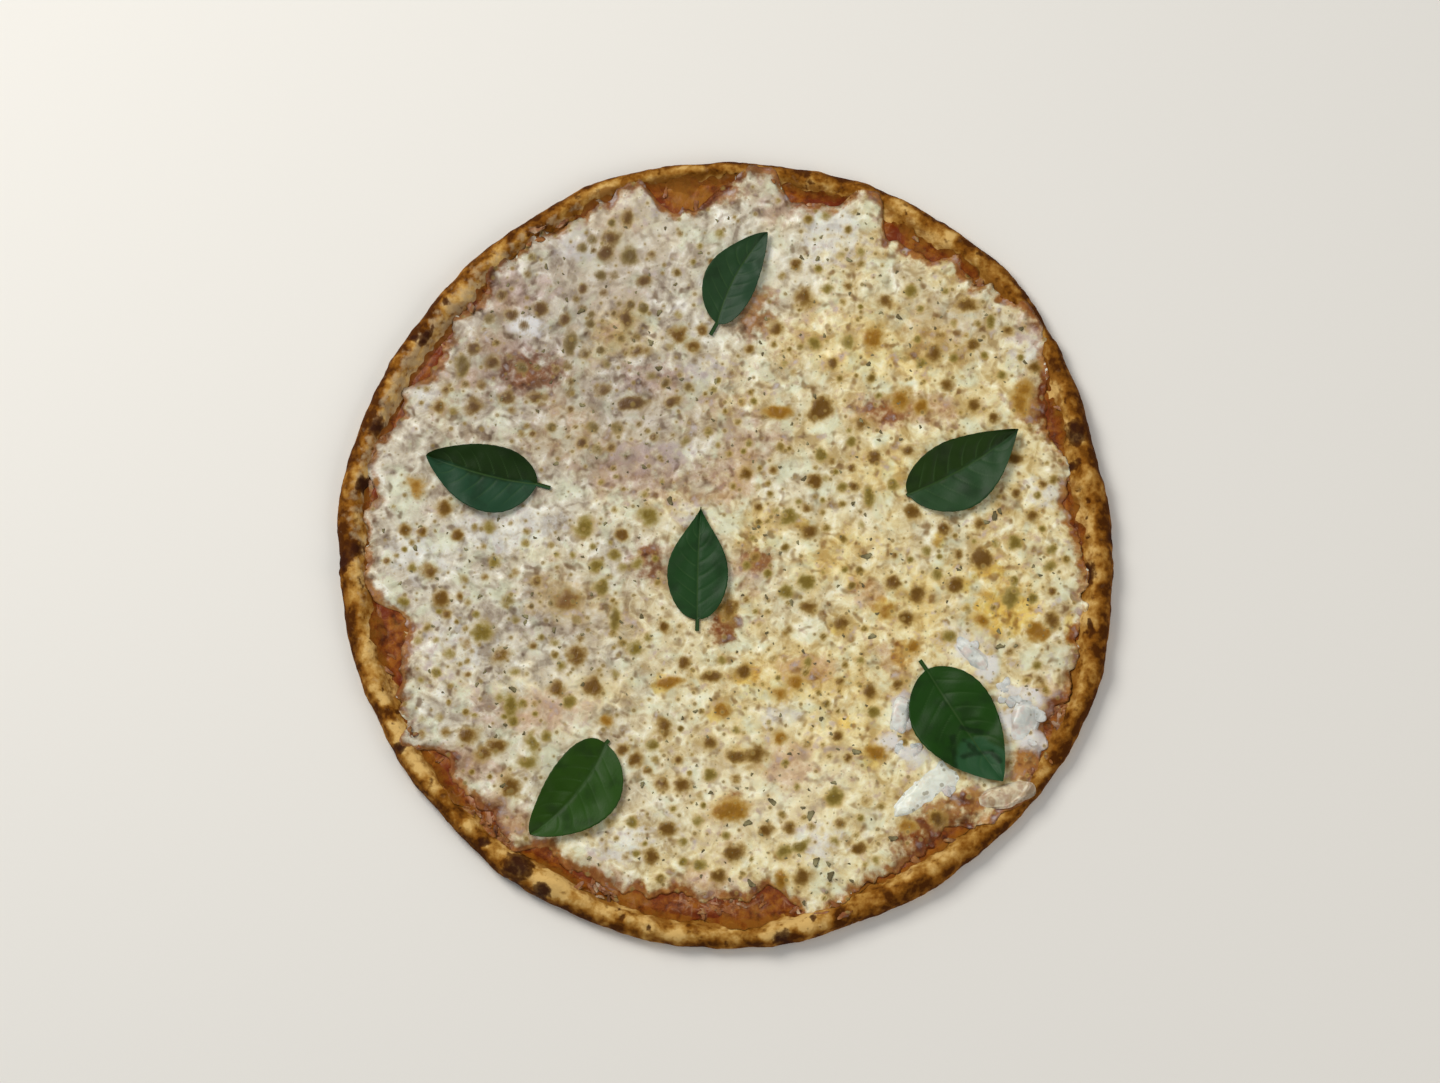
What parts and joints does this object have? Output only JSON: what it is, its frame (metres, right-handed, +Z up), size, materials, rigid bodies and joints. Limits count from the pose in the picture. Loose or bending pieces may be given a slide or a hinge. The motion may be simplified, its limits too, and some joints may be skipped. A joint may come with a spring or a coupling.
{
  "type": "margherita pizza",
  "caption": "Whole uncut thin-crust pizza with tomato sauce, melted cheese with toasted spots, dried herbs, fresh mozzarella and basil leaves; it lies flat on its base.",
  "frame": {"origin": "under the middle of the pizza, on the surface that it lies on", "axes": "+Z up through the toppings, +X to the right and +Y away from whoever looks at it with the mozzarella strip near and to the right"},
  "size_m": [0.3307, 0.3427, 0.013],
  "materials": {
    "baked_dough": "matt golden baked dough with browned and charred patches",
    "tomato_sauce": "glossy reduced tomato sauce",
    "melted_cheese": "oily melted cheese with brown toasted spots and herb flakes",
    "fresh_mozzarella": "moist white fresh cheese",
    "basil_leaf": "waxy dark green leaf"
  },
  "bodies": {
    "root": {"crust": "baked_dough", "tomato_sauce": "tomato_sauce", "cheese": "melted_cheese", "mozzarella_strip": "fresh_mozzarella", "mozzarella_curd_left": "fresh_mozzarella", "mozzarella_curd_upper": "fresh_mozzarella", "mozzarella_curd_right": "fresh_mozzarella", "mozzarella_curd_rim": "fresh_mozzarella", "basil_leaf_far": "basil_leaf", "basil_leaf_left": "basil_leaf", "basil_leaf_right": "basil_leaf", "basil_leaf_middle": "basil_leaf", "basil_leaf_near_right": "basil_leaf", "basil_leaf_near_left": "basil_leaf"}
  },
  "joints": []
}
